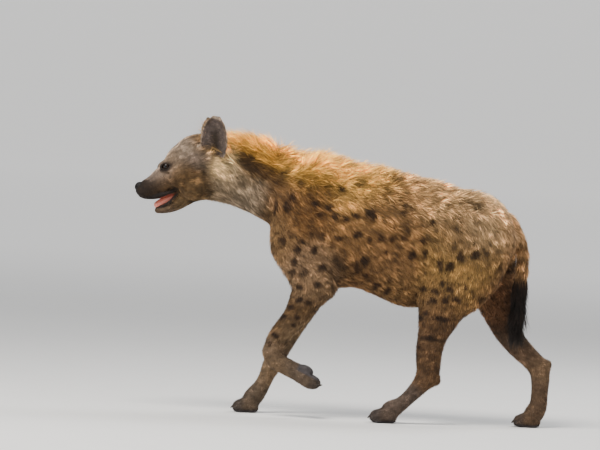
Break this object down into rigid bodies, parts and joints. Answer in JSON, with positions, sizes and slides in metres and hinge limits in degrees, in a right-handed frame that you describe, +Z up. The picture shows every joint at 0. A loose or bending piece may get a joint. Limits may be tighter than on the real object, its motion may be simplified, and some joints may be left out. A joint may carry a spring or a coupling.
{
  "type": "spotted hyena",
  "caption": "Life-size spotted hyena walking, one forepaw lifted, mouth a little open, with a nape mane and a dark tail brush.",
  "frame": {"origin": "on the floor, under the middle of the animal's whole extent", "axes": "+X towards the tail, -X towards the nose, +Y the animal's right side, +Z up"},
  "size_m": [1.3252, 0.2894, 0.9215],
  "materials": {
    "body_coat": "matt shaggy spotted fur",
    "mane_hair": "matt long golden hair",
    "face_fur": "matt short grey-brown fur",
    "leg_fur": "matt short spotted fur",
    "dark_brush_hair": "matt long dark hair",
    "nose": "moist pebbled skin",
    "tongue": "wet flesh",
    "eye": "wet glossy eye"
  },
  "bodies": {
    "root": {"head": "face_fur", "left_ear": "face_fur", "left_eye": "eye", "left_forearm": "leg_fur", "left_forepaw": "leg_fur", "left_hind_paw": "leg_fur", "left_shank": "leg_fur", "left_thigh": "body_coat", "left_upper_arm": "body_coat", "lower_jaw": "face_fur", "neck": "mane_hair", "nose": "nose", "right_ear": "face_fur", "right_eye": "eye", "right_forearm": "leg_fur", "right_forepaw": "leg_fur", "right_hind_paw": "leg_fur", "right_shank": "leg_fur", "right_thigh": "body_coat", "right_upper_arm": "body_coat", "tail": "body_coat", "tail_brush": "dark_brush_hair", "tongue": "tongue", "torso": "body_coat"}
  },
  "joints": []
}
